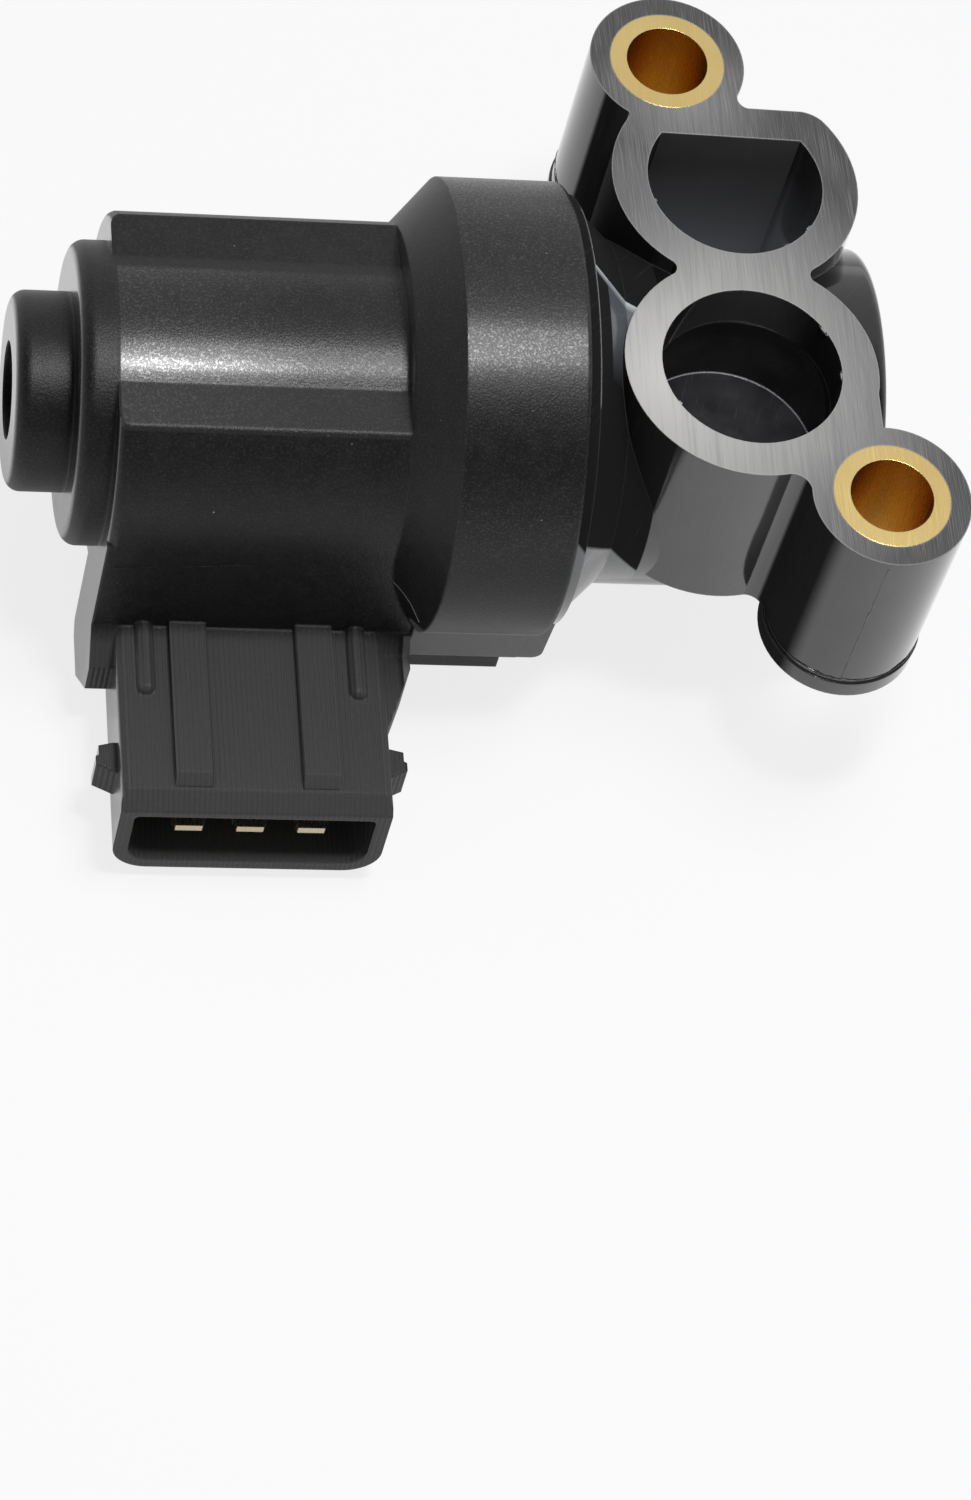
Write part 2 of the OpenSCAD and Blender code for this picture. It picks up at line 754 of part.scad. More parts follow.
module housing_outside() {
    disc_round_low(x_end, x_nub + eps, nub_r, ring_edge);
    disc_round_low(x_nub, x_ring + eps, ring_r, ring_edge);
    difference() {
        disc_round_low(x_ring, x_body + eps, body_r, soft_edge);
        translate([x_ring - 1, axis_offset - 2 * body_r, body_flat - axis_depth])
            cube([body_len + 2, 4 * body_r, body_r]);
    }
    bar(x_ring, x_body + eps, barrel_r);
    on_axis(x_body) cylinder(h = cone_len, r1 = body_r, r2 = collar_r);
    disc_round_high(x_cone, x_rim, collar_r, collar_edge);
    socket_leg();
    collar_pad();
    gusset();
    difference() {
        socket();
        mouth_bevel();
    }
}

module motor_housing() {
    color("#232326") difference() {
        housing_outside();
        bar(x_end - eps, x_end + nub_hole_depth, nub_hole_r);
        bar(shaft_start - shaft_room, seat_start + eps, shaft_r + 1);
        bar(seat_start, bore_start + eps, bearing_r);
        bar(bore_start, x_plate + eps, casing_r);
        bar(x_plate, x_rim + eps, collar_bore);
        along_socket(cavity_roof, -eps, cavity_depth + eps) cavity_outline();
        for (i = [1:3]) terminal(i);
    }
}

motor_housing();
valve_body();
upper_sleeve();
lower_sleeve();
rotary_slide();
rotor_shaft();
magnet_ring();
magnet_hub();
flux_casing();
rear_bobbin();
front_bobbin();
rear_coil();
front_coil();
front_plate();
shaft_seal();
body_seal();
stop_pin();
retaining_ring();
preload_washer();
for (i = [1:3]) terminal(i);
for (i = [1:4]) claw_yoke(i);
outer_race(rear_race);  // rear_outer_race
outer_race(front_race);  // front_outer_race
inner_race(rear_race);  // rear_inner_race
inner_race(front_race);  // front_inner_race
ball_cage(rear_race);  // rear_ball_cage
ball_cage(front_race);  // front_ball_cage
for (i = [1:ball_count]) ball(rear_race, i);
for (i = [1:ball_count]) ball(front_race, i);
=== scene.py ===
import json
import math
import random
import bpy
from mathutils import Matrix, Vector


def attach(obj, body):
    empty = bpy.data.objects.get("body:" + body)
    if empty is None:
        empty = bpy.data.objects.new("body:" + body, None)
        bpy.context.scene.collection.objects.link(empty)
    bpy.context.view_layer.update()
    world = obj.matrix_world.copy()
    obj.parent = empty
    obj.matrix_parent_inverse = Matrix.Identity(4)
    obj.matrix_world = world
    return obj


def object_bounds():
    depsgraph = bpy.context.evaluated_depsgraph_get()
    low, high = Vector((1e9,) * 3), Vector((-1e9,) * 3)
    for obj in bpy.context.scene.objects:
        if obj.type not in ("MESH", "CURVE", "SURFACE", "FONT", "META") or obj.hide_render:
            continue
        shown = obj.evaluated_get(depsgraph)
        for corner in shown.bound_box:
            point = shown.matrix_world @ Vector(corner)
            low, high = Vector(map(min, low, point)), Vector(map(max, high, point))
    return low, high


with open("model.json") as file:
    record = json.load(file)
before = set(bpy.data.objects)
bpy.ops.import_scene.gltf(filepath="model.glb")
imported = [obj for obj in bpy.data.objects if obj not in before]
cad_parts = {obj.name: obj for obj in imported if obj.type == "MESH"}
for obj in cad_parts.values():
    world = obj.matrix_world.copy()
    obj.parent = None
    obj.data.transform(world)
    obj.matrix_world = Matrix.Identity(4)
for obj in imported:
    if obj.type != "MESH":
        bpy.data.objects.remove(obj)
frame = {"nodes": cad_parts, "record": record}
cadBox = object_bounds()
nodes = frame["nodes"]
mm = 0.001
random.seed(11)
print("stage: frame loaded,", len(nodes), "nodes")

# the camera stands where the photograph was taken; place in mm from the round port
shot = {
    "place": (-99.289, -238.745, 344.411),
    "right": (0.98255, -0.07310, 0.17094),
    "up": (-0.02330, 0.86372, 0.50342),
    "back": (-0.18445, -0.49862, 0.84696),
    "lens": 129.622, "sensor": 36, "nearest": 0.01, "farthest": 20,
}
cameraData = bpy.data.cameras.new("photoCamera")
cameraData.lens = shot["lens"]
cameraData.sensor_width = shot["sensor"]
cameraData.clip_start = shot["nearest"]
cameraData.clip_end = shot["farthest"]
cameraData.dof.use_dof = False
camera = bpy.data.objects.new("photoCamera", cameraData)
bpy.context.scene.collection.objects.link(camera)
pose = Matrix.Identity(4)
for column, name in enumerate(("right", "up", "back")):
    for row in range(3):
        pose[row][column] = shot[name][row]
for row in range(3):
    pose[row][3] = shot["place"][row] * mm
camera.matrix_world = pose
bpy.context.scene.camera = camera
bpy.context.scene.view_settings.view_transform = "Standard"


# small helpers for node trees
def plug(tree, source, socket):
    if isinstance(source, bpy.types.NodeSocket):
        tree.links.new(source, socket)
    elif isinstance(source, tuple) and len(source) == 3 and socket.type == "RGBA":
        socket.default_value = (*source, 1)
    else:
        socket.default_value = source


def addNode(tree, kind, links=None, **values):
    node = tree.nodes.new(kind)
    for key, value in values.items():
        setattr(node, key, value)
    for label, source in (links or {}).items():
        plug(tree, source, node.inputs[label])
    return node


def newGroup(name, inputs, outputs):
    group = bpy.data.node_groups.new(name, "ShaderNodeTree")
    for label, kind, value in inputs:
        socket = group.interface.new_socket(name=label, in_out="INPUT", socket_type=kind)
        if value is not None:
            socket.default_value = value
    for label, kind in outputs:
        group.interface.new_socket(name=label, in_out="OUTPUT", socket_type=kind)
    return group, group.nodes.new("NodeGroupInput"), group.nodes.new("NodeGroupOutput")


def maths(tree, operation, a, b=0.0):
    return addNode(tree, "ShaderNodeMath", {0: a, 1: b}, operation=operation).outputs[0]


def times(tree, first, *others):
    for other in others:
        first = maths(tree, "MULTIPLY", first, other)
    return first


def plus(tree, a, b):
    return maths(tree, "ADD", a, b)


def larger(tree, a, b):
    return maths(tree, "MAXIMUM", a, b)


def outside(tree, mask):
    return maths(tree, "SUBTRACT", 1.0, mask)


def ramp(tree, value, low, high, toLow=0.0, toHigh=1.0):
    links = {"Value": value, "From Min": low, "From Max": high, "To Min": toLow, "To Max": toHigh}
    return addNode(tree, "ShaderNodeMapRange", links, clamp=True).outputs["Result"]


# a ramp between two places in mm
def rise(tree, value, ends, toLow=0.0, toHigh=1.0):
    return ramp(tree, value, ends[0] * mm, ends[1] * mm, toLow, toHigh)


# 1 between two places in mm, with soft ends
def inside(tree, value, ends, soft=0.05):
    low, high = ends
    start = rise(tree, value, (low - soft, low + soft))
    return times(tree, start, rise(tree, value, (high - soft, high + soft), 1.0, 0.0))


# how far over a slanting line a place lies, along the first axis; the line's shift is in mm
def overLine(tree, a, b, line):
    share, shift = line
    return plus(tree, plus(tree, a, times(tree, b, share)), shift * mm)


def farFrom(tree, x, y, spot):
    dx = plus(tree, x, -spot[0] * mm)
    dy = plus(tree, y, -spot[1] * mm)
    return maths(tree, "SQRT", plus(tree, times(tree, dx, dx), times(tree, dy, dy)))


def facing(tree):
    return split(tree, tree.nodes.new("ShaderNodeNewGeometry").outputs["Normal"])


def mixColour(tree, share, a, b):
    node = addNode(tree, "ShaderNodeMix", data_type="RGBA")
    for index, source in ((0, share), (6, a), (7, b)):
        plug(tree, source, node.inputs[index])
    return node.outputs[2]


def mixValue(tree, share, a, b):
    return addNode(tree, "ShaderNodeMix", {0: share, 2: a, 3: b}).outputs[0]


def layered(tree, base, look, layers):
    for name, share in layers:
        base = mixColour(tree, share, base, look[name])
    return base


def split(tree, vector):
    return addNode(tree, "ShaderNodeSeparateXYZ", {"Vector": vector}).outputs


# effects that the materials share; sizes in mm
number = "NodeSocketFloat"
vector = "NodeSocketVector"
metre = 1000.0


def makeGrain():
    effect = {"detail": 3.0, "roughness": 0.6, "wideShare": 0.12, "fleck": (0.5, 0.72)}
    inputs = [("Coords", vector, None), ("Size", number, 0.2), ("Coarse", number, 0.3)]
    outputs = [("Height", number), ("Tone", number), ("Fleck", number)]
    tree, given, result = newGroup("mouldGrain", inputs, outputs)
    coords = given.outputs["Coords"]
    scale = maths(tree, "DIVIDE", metre, given.outputs["Size"])
    links = {"Vector": coords, "Scale": scale, "Detail": effect["detail"], "Roughness": effect["roughness"]}
    fine = addNode(tree, "ShaderNodeTexNoise", links).outputs["Fac"]
    links = {"Vector": coords, "Scale": times(tree, scale, effect["wideShare"]), "Detail": effect["detail"]}
    wide = addNode(tree, "ShaderNodeTexNoise", links).outputs["Fac"]
    height = plus(tree, fine, times(tree, wide, given.outputs["Coarse"]))
    tree.links.new(height, result.inputs["Height"])
    tree.links.new(wide, result.inputs["Tone"])
    tree.links.new(ramp(tree, fine, *effect["fleck"]), result.inputs["Fleck"])
    return tree


def makeScratches():
    effect = {"detail": 4.0, "roughness": 0.65, "start": (0.68, 0.36), "soft": 0.16}
    inputs = [("Coords", vector, None), ("Turn", number, 0.0), ("Width", number, 0.08),
              ("Length", number, 8.0), ("Share", number, 0.4)]
    tree, given, result = newGroup("fineScratches", inputs, [("Mask", number), ("Height", number)])
    links = {"Vector": given.outputs["Coords"], "Angle": given.outputs["Turn"]}
    turned = addNode(tree, "ShaderNodeVectorRotate", links, rotation_type="Z_AXIS")
    x, y, z = split(tree, turned.outputs["Vector"])
    across = maths(tree, "DIVIDE", metre, given.outputs["Width"])
    along = maths(tree, "DIVIDE", metre, given.outputs["Length"])
    links = {"X": times(tree, x, across), "Y": times(tree, y, along), "Z": times(tree, z, along)}
    joined = addNode(tree, "ShaderNodeCombineXYZ", links).outputs["Vector"]
    links = {"Vector": joined, "Scale": 1.0, "Detail": effect["detail"], "Roughness": effect["roughness"]}
    lines = addNode(tree, "ShaderNodeTexNoise", links).outputs["Fac"]
    low = ramp(tree, given.outputs["Share"], 0.0, 1.0, *effect["start"])
    tree.links.new(ramp(tree, lines, low, plus(tree, low, effect["soft"])), result.inputs["Mask"])
    tree.links.new(lines, result.inputs["Height"])
    return tree


def makeEdges():
    effect = {"samples": 6, "least": 0.01}
    inputs = [("Radius", number, 0.3), ("Reach", number, 0.25)]
    tree, given, result = newGroup("roundedEdges", inputs, [("Normal", vector), ("Wear", number)])
    links = {"Radius": times(tree, given.outputs["Radius"], mm)}
    bevel = addNode(tree, "ShaderNodeBevel", links, samples=effect["samples"]).outputs["Normal"]
    plain = tree.nodes.new("ShaderNodeNewGeometry").outputs["Normal"]
    dot = addNode(tree, "ShaderNodeVectorMath", {0: bevel, 1: plain}, operation="DOT_PRODUCT")
    away = outside(tree, dot.outputs["Value"])
    tree.links.new(ramp(tree, away, effect["least"], given.outputs["Reach"]), result.inputs["Wear"])
    tree.links.new(bevel, result.inputs["Normal"])
    return tree


def makeDust():
    effect = {"bendScale": 6.0, "bend": 1.3, "faintest": 0.25}
    inputs = [("Coords", vector, None), ("Spacing", number, 2.0), ("Speck", number, 0.06),
              ("Share", number, 0.25)]
    tree, given, result = newGroup("dustSpecks", inputs, [("Mask", number)])
    coords = given.outputs["Coords"]
    spacing = given.outputs["Spacing"]
    scale = maths(tree, "DIVIDE", metre, spacing)
    links = {"Vector": coords, "Scale": times(tree, scale, effect["bendScale"]), "Detail": 1.0}
    bent = addNode(tree, "ShaderNodeTexNoise", links).outputs["Fac"]
    cells = addNode(tree, "ShaderNodeTexVoronoi", {"Vector": coords, "Scale": scale})
    share = maths(tree, "DIVIDE", given.outputs["Speck"], spacing)
    size = times(tree, share, times(tree, bent, effect["bend"]))
    near = maths(tree, "LESS_THAN", cells.outputs["Distance"], size)
    drawn = split(tree, cells.outputs["Color"])
    chosen = maths(tree, "LESS_THAN", drawn[0], given.outputs["Share"])
    faint = ramp(tree, drawn[1], 0.0, 1.0, effect["faintest"], 1.0)
    tree.links.new(times(tree, near, chosen, faint), result.inputs["Mask"])
    return tree


grainGroup = makeGrain()
scratchGroup = makeScratches()
edgeGroup = makeEdges()
dustGroup = makeDust()


def fillGroup(tree, group, values, **links):
    node = addNode(tree, "ShaderNodeGroup", node_tree=group)
    for label, source in {**values, **links}.items():
        plug(tree, source, node.inputs[label])
    return node.outputs


def startMaterial(name):
    material = bpy.data.materials.new(name)
    material.use_nodes = True
    tree = material.node_tree
    tree.nodes.clear()
    out = tree.nodes.new("ShaderNodeOutputMaterial")
    shader = tree.nodes.new("ShaderNodeBsdfPrincipled")
    tree.links.new(shader.outputs["BSDF"], out.inputs["Surface"])
    coords = tree.nodes.new("ShaderNodeTexCoord").outputs["Object"]
    return material, tree, shader, coords


def bumpInto(tree, shader, height, depth, normal):
    links = {"Height": height, "Distance": depth * mm, "Strength": 1.0, "Normal": normal}
    bump = addNode(tree, "ShaderNodeBump", links)
    tree.links.new(bump.outputs["Normal"], shader.inputs["Normal"])


# satin black moulding: a smoother barrel, a matt socket with cutter lines, a pale pad, a paler strip under
# the barrel that is painted sheen, pale glass flecks that are partly painted sparkle, and edges paler from
# wear and from painted glints;
# a pair of places in mm goes from no effect to full effect, or from one end of a stretch to the other,
# a pair named Facing does so in a part of the normal, and a row of four is a ramp over a noise
housingLook = {
    "colour": (0.0085, 0.0084, 0.0086), "paler": (0.014, 0.0137, 0.0136), "cloud": (0.4, 0.7, 0.0, 0.7),
    "socket": (0.052, 0.0515, 0.051), "pad": (0.17, 0.17, 0.17), "strip": (0.022, 0.022, 0.022),
    "fleck": (0.060, 0.059, 0.058), "fleckShare": 0.35,
    "wear": (0.12, 0.118, 0.115), "wearShare": 0.26, "edges": {"Radius": 0.38, "Reach": 0.3},
    "scuffs": {"Turn": 0.5, "Width": 0.12, "Length": 3.0, "Share": 0.12}, "scuffShare": 0.06,
    "dust": (0.36, 0.32, 0.28), "specks": {"Spacing": 1.7, "Speck": 0.085, "Share": 0.30},
    "roughness": 0.40, "barrelRough": 0.31, "endRough": 0.24, "socketRough": 0.52,
    "roughCloud": (0.3, 0.7, -0.015, 0.02), "specular": 0.30,
    "skinRough": 0.22, "skinIndex": 1.6, "barrelSkin": 0.60, "farSkin": 0.17, "collarSkin": 0.4,
    "skinGrain": 1.6, "skinLeast": 0.5, "skinFades": (-47.0, -35.0),
    "grain": {"Size": 0.19, "Coarse": 0.5}, "grainDepth": 0.036, "linePitch": 0.42, "lineDepth": 0.8,
    "socketFront": (-9.4, -10.6), "socketTop": (-25.1, -25.5), "socketRight": (-24.6, -25.0),
    "padFront": (-9.55, -9.65), "padLength": (-24.5, -12.0), "padHeight": (-29.6, -23.2),
    "barrel": (-50.0, -27.2), "barrelTop": (-4.7, -4.5), "barrelBack": (10.0, 9.5),
    "stripHeight": (-4.6, -4.1), "stripFront": (0.0, -1.0),
    "collar": (-23.5, -13.4), "collarTop": (-12.0, -4.0), "endFacing": (-0.8, -0.95),
}


def housingBlack():
    look = housingLook
    material, tree, shader, coords = startMaterial("housingBlack")
    x, y, z = split(tree, coords)
    grain = fillGroup(tree, grainGroup, look["grain"], Coords=coords)
    edges = fillGroup(tree, edgeGroup, look["edges"])
    dust = fillGroup(tree, dustGroup, look["specks"], Coords=coords)
    scuff = fillGroup(tree, scratchGroup, look["scuffs"], Coords=coords)

    onSocket = times(tree, rise(tree, y, look["socketFront"]), rise(tree, z, look["socketTop"]),
                     rise(tree, x, look["socketRight"]))
    onPad = times(tree, rise(tree, y, look["padFront"]), inside(tree, x, look["padLength"]),
                  inside(tree, z, look["padHeight"]))
    alongBarrel = inside(tree, x, look["barrel"])
    onBarrel = times(tree, alongBarrel, rise(tree, z, look["barrelTop"]), rise(tree, y, look["barrelBack"]))
    # the strip under the barrel takes a paler colour, a painted sheen
    onStrip = times(tree, alongBarrel, inside(tree, z, look["stripHeight"]),
                    rise(tree, y, look["stripFront"]))
    onCollar = times(tree, inside(tree, x, look["collar"]), rise(tree, z, look["collarTop"]))
    onEnd = ramp(tree, facing(tree)[0], *look["endFacing"])

    base = mixColour(tree, ramp(tree, grain["Tone"], *look["cloud"]), look["colour"], look["paler"])
    base = layered(tree, base, look, (
        ("strip", onStrip), ("socket", onSocket), ("pad", onPad),
        # pale flecks: glass in the moulding, and partly a painted sparkle
        ("fleck", times(tree, grain["Fleck"], look["fleckShare"])),
        # paler edges: wear, and a painted glint along them
        ("wear", times(tree, edges["Wear"], look["wearShare"])),
        ("wear", times(tree, scuff["Mask"], look["scuffShare"])),
        ("dust", dust["Mask"]),
    ))
    tree.links.new(base, shader.inputs["Base Color"])

    rough = mixValue(tree, onSocket, look["roughness"], look["socketRough"])
    rough = mixValue(tree, onBarrel, rough, look["barrelRough"])
    rough = mixValue(tree, onEnd, rough, look["endRough"])
    rough = plus(tree, rough, ramp(tree, grain["Tone"], *look["roughCloud"]))
    tree.links.new(rough, shader.inputs["Roughness"])

    # a smooth skin, broken by the grain on the barrel and the collar, whole on the left end's faces
    fading = rise(tree, x, look["skinFades"], look["barrelSkin"], look["farSkin"])
    skin = larger(tree, times(tree, onBarrel, fading), times(tree, onCollar, look["collarSkin"]))
    skin = times(tree, skin, plus(tree, times(tree, grain["Fleck"], look["skinGrain"]), look["skinLeast"]))
    tree.links.new(larger(tree, skin, onEnd), shader.inputs["Coat Weight"])
    shader.inputs["Specular IOR Level"].default_value = look["specular"]
    shader.inputs["Coat Roughness"].default_value = look["skinRough"]
    shader.inputs["Coat IOR"].default_value = look["skinIndex"]

    waves = maths(tree, "SINE", times(tree, x, 2 * math.pi / (look["linePitch"] * mm)))
    lines = times(tree, waves, onSocket, look["lineDepth"])
    bumpInto(tree, shader, plus(tree, grain["Height"], lines), look["grainDepth"], edges["Normal"])
    return material


# glossy black moulding; walls that face the front are lighter in clouds, a painted reflection, the deep
# walls of the D-shaped duct are paler, painted light, and the edges are paler from wear and painted glints
valveLook = {
    "colour": (0.0075, 0.0075, 0.008), "glossCloud": (0.3, 0.7, 0.07, 0.15),
    "specular": 0.22, "skinRough": 0.10,
    "swirls": {"Size": 2.6, "Coarse": 1.5}, "swirlHeight": 0.8, "bumpDepth": 0.02,
    "wear": (0.30, 0.30, 0.30), "wearShare": 0.20, "edges": {"Radius": 0.22, "Reach": 0.3},
    "scuffs": {"Turn": 0.7, "Width": 0.25, "Length": 5.0, "Share": 0.3},
    "scuffShare": 0.05, "scuffRough": 0.06,
    "dust": (0.45, 0.44, 0.42), "dustShare": 0.8, "specks": {"Spacing": 2.4, "Speck": 0.07, "Share": 0.2},
    "film": (0.085, 0.085, 0.085), "filmFacing": (-0.68, -1.0), "filmCloud": (0.35, 0.6, 0.45, 1.0),
    "duct": (0.20, 0.205, 0.225), "ductLength": (10.9, 22.8), "ductDepth": (-4.0, -15.0),
    "ductCentre": (0.38, 18.2), "ductRadius": (7.4, 7.2),
}

# the ground mating face, with real grinding lines and bands under a painted sheen: brightest round one spot,
# less so round a second, and painted shade round two more; spots are places on it and reaches are distances
# from them, in mm
faceLook = {
    "machined": (0.56, 0.555, 0.55), "machinedDark": (0.075, 0.075, 0.077), "rough": 0.42,
    "lines": {"Turn": -0.03, "Width": 0.07, "Length": 6.0, "Share": 0.6},
    "bands": {"Turn": 0.02, "Width": 0.3, "Length": 14.0, "Share": 0.55}, "lineShare": 0.22,
    "shine": {"spot": (-7.0, -1.0), "reach": (24.0, 1.0)},
    "shades": ({"spot": (-10.5, 14.5), "reach": 10.0, "left": 0.35},
               {"spot": (6.5, -13.0), "reach": 6.0, "left": 0.55}),
    "upperShine": {"spot": (-3.0, 26.0), "reach": 8.0, "amount": 0.36},
    "bright": (0.80, 0.80, 0.80), "brightShare": 0.55, "brightHeight": (-0.35, -0.1),
    "height": 0.04, "upward": 0.8, "start": -11.6,
}

# the walls where the body meets the motor: a pale crest that is a painted glint, grey facets before and
# below it that are painted reflections, dull black behind it, and dull black on the walls that look left
jointLook = {
    "lowFacet": (0.15, 0.155, 0.16), "facet": (0.11, 0.12, 0.135), "crest": (0.46, 0.48, 0.50),
    "dullRough": 0.95,
    "length": (-13.6, -6.8), "back": (22.8, 22.5), "crestLine": (0.65, -0.1), "slopeLine": (1.22, 25.6),
    "upper": (-0.2, 0.2), "lower": (0.2, -0.2), "lowFacing": (-0.5, -0.65),
    "before": (0.1, 0.0), "past": (0.0, 0.1), "behindHeight": (-18.0, -12.0), "behindLength": (0.0, 19.2),
    "behindSoft": 0.5, "crestLength": (-12.6, -8.2), "crestWidth": (-0.8, -0.1),
    "facetLength": (-11.3, -8.2), "facetFront": (-1.5, 3.0),
    "leftFacing": (-0.64, -0.80), "leftFront": (13.0, 12.0),
    "bossFacing": (-0.50, -0.56), "bossBack": (20.0, 20.5), "dullRight": (11.0, 10.0),
}


def groundColour(tree, coords, x, y):
    look = faceLook
    shine = look["shine"]
    bright = rise(tree, farFrom(tree, x, y, shine["spot"]), shine["reach"])
    for shade in look["shades"]:
        distance = farFrom(tree, x, y, shade["spot"])
        bright = times(tree, bright, rise(tree, distance, (0.0, shade["reach"]), shade["left"], 1.0))
    shine = look["upperShine"]
    distance = farFrom(tree, x, y, shine["spot"])
    bright = larger(tree, bright, rise(tree, distance, (0.0, shine["reach"]), shine["amount"], 0.0))
    lines = fillGroup(tree, scratchGroup, look["lines"], Coords=coords)
    bands = fillGroup(tree, scratchGroup, look["bands"], Coords=coords)
    # the painted sheen runs from the dark ground colour to the pale one
    ground = mixColour(tree, bright, look["machinedDark"], look["machined"])
    ground = layered(tree, ground, look, (
        ("machined", times(tree, lines["Mask"], look["lineShare"])),
        ("machinedDark", times(tree, bands["Mask"], look["lineShare"])),
    ))
    return ground, lines["Height"]


def jointMasks(tree, x, y, z, across, along, offFace):
    look = jointLook
    alongJoint = inside(tree, x, look["length"])
    onJoint = times(tree, alongJoint, rise(tree, y, look["back"]))
    overCrest = overLine(tree, y, x, look["crestLine"])
    slope = overLine(tree, z, x, look["slopeLine"])
    upper = times(tree, rise(tree, slope, look["upper"]), offFace)
    before = rise(tree, overCrest, look["before"])
    lowFacet = times(tree, onJoint, rise(tree, slope, look["lower"]), ramp(tree, along, *look["lowFacing"]))
    crest = times(tree, upper, inside(tree, x, look["crestLength"]),
                  rise(tree, overCrest, look["crestWidth"]), before)
    facet = times(tree, upper, inside(tree, x, look["facetLength"]), before,
                  rise(tree, y, look["facetFront"]))
    behind = times(tree, rise(tree, z, look["behindHeight"]), rise(tree, overCrest, look["past"]),
                   alongJoint, inside(tree, y, look["behindLength"], look["behindSoft"]), offFace)

    # walls without the mould's glossy skin
    leftWalls = times(tree, ramp(tree, across, *look["leftFacing"]), rise(tree, y, look["leftFront"]))
    bossWall = times(tree, ramp(tree, along, *look["bossFacing"]), rise(tree, y, look["bossBack"]))
    walls = times(tree, larger(tree, leftWalls, bossWall), rise(tree, x, look["dullRight"]))
    dull = larger(tree, times(tree, onJoint, upper, outside(tree, facet)), behind)
    dull = larger(tree, dull, walls)
    return {"joint": onJoint, "lowFacet": lowFacet, "facet": facet, "crest": crest, "dull": dull}


def valveBlack():
    look = valveLook
    material, tree, shader, coords = startMaterial("valveBlack")
    x, y, z = split(tree, coords)
    across, along, upward = facing(tree)
    swirls = fillGroup(tree, grainGroup, look["swirls"], Coords=coords)
    edges = fillGroup(tree, edgeGroup, look["edges"])
    dust = fillGroup(tree, dustGroup, look["specks"], Coords=coords)
    scuff = fillGroup(tree, scratchGroup, look["scuffs"], Coords=coords)

    onFace = times(tree, maths(tree, "GREATER_THAN", z, -faceLook["height"] * mm),
                   maths(tree, "LESS_THAN", z, faceLook["height"] * mm),
                   maths(tree, "GREATER_THAN", upward, faceLook["upward"]),
                   maths(tree, "GREATER_THAN", x, faceLook["start"] * mm))
    masks = jointMasks(tree, x, y, z, across, along, outside(tree, onFace))
    # walls that face the front are lighter in clouds: a painted reflection
    film = times(tree, ramp(tree, along, *look["filmFacing"]),
                 ramp(tree, swirls["Tone"], *look["filmCloud"]), outside(tree, masks["joint"]))
    # the duct's deep walls are paler: painted light
    inDuct = times(tree, inside(tree, y, look["ductLength"]), rise(tree, z, look["ductDepth"]),
                   rise(tree, farFrom(tree, x, y, look["ductCentre"]), look["ductRadius"]))

    ground, lineHeight = groundColour(tree, coords, x, y)
    black = mixColour(tree, film, look["colour"], look["film"])
    black = layered(tree, black, look, (
        ("wear", times(tree, scuff["Mask"], look["scuffShare"])),
        ("dust", times(tree, dust["Mask"], look["dustShare"])),
        ("duct", inDuct),
    ))
    # the joint's facets and crest take painted reflections and a painted glint
    facets = [(name, masks[name]) for name in ("lowFacet", "facet", "crest")]
    black = layered(tree, black, jointLook, facets)
    base = mixColour(tree, onFace, black, ground)
    # edges paler: wear, and a painted glint along them
    base = mixColour(tree, times(tree, edges["Wear"], look["wearShare"]), base, look["wear"])
    # a near-white rim on the ground face's edges: a whitened edge, and a painted edge highlight
    rim = times(tree, edges["Wear"], rise(tree, z, faceLook["brightHeight"]), faceLook["brightShare"])
    tree.links.new(mixColour(tree, rim, base, faceLook["bright"]), shader.inputs["Base Color"])

    rough = ramp(tree, swirls["Tone"], *look["glossCloud"])
    rough = plus(tree, rough, times(tree, scuff["Mask"], look["scuffRough"]))
    rough = mixValue(tree, masks["dull"], rough, jointLook["dullRough"])
    tree.links.new(mixValue(tree, onFace, rough, faceLook["rough"]), shader.inputs["Roughness"])
    tree.links.new(outside(tree, larger(tree, masks["dull"], onFace)), shader.inputs["Coat Weight"])
    shader.inputs["Specular IOR Level"].default_value = look["specular"]
    shader.inputs["Coat Roughness"].default_value = look["skinRough"]

    height = mixValue(tree, onFace, times(tree, swirls["Height"], look["swirlHeight"]), lineHeight)
    bumpInto(tree, shader, height, look["bumpDepth"], edges["Normal"])
    return material


# bare metals with fine scratches; the brass is a deeper amber on walls that face sideways, painted shade of
# its bores
metalLooks = {
    "sleeveBrass": {"colour": (0.82, 0.63, 0.27), "deep": (0.70, 0.50, 0.18), "inner": (0.60, 0.34, 0.06),
                    "rough": 0.32, "width": 0.05, "depth": 0.006, "edge": 0.12},
    "bladeTin": {"colour": (0.62, 0.54, 0.38), "deep": (0.42, 0.34, 0.20),
                 "rough": 0.30, "width": 0.10, "depth": 0.006, "edge": 0.08},
    "groundSteel": {"colour": (0.56, 0.57, 0.58), "deep": (0.38, 0.38, 0.39),
                    "rough": 0.28, "width": 0.06, "depth": 0.004, "edge": 0.08},
    "castAlloy": {"colour": (0.60, 0.61, 0.62), "deep": (0.42, 0.42, 0.43),
                  "rough": 0.45, "width": 0.30, "depth": 0.010, "edge": 0.15},
    "copperWire": {"colour": (0.58, 0.22, 0.075), "deep": (0.33, 0.10, 0.03),
                   "rough": 0.33, "width": 0.18, "depth": 0.03, "edge": 0.1},
}
metalFinish = {
    "scratches": {"Turn": 0.0, "Length": 5.0, "Share": 0.6}, "smoother": 0.05, "rougher": 0.10,
    "clouds": {"Size": 1.2, "Coarse": 0.8}, "cloud": (0.35, 0.7, 0.0, 0.6),
    "reach": 0.3, "wearShare": 0.3, "wearLight": 1.2, "innerFacing": 0.5,
}


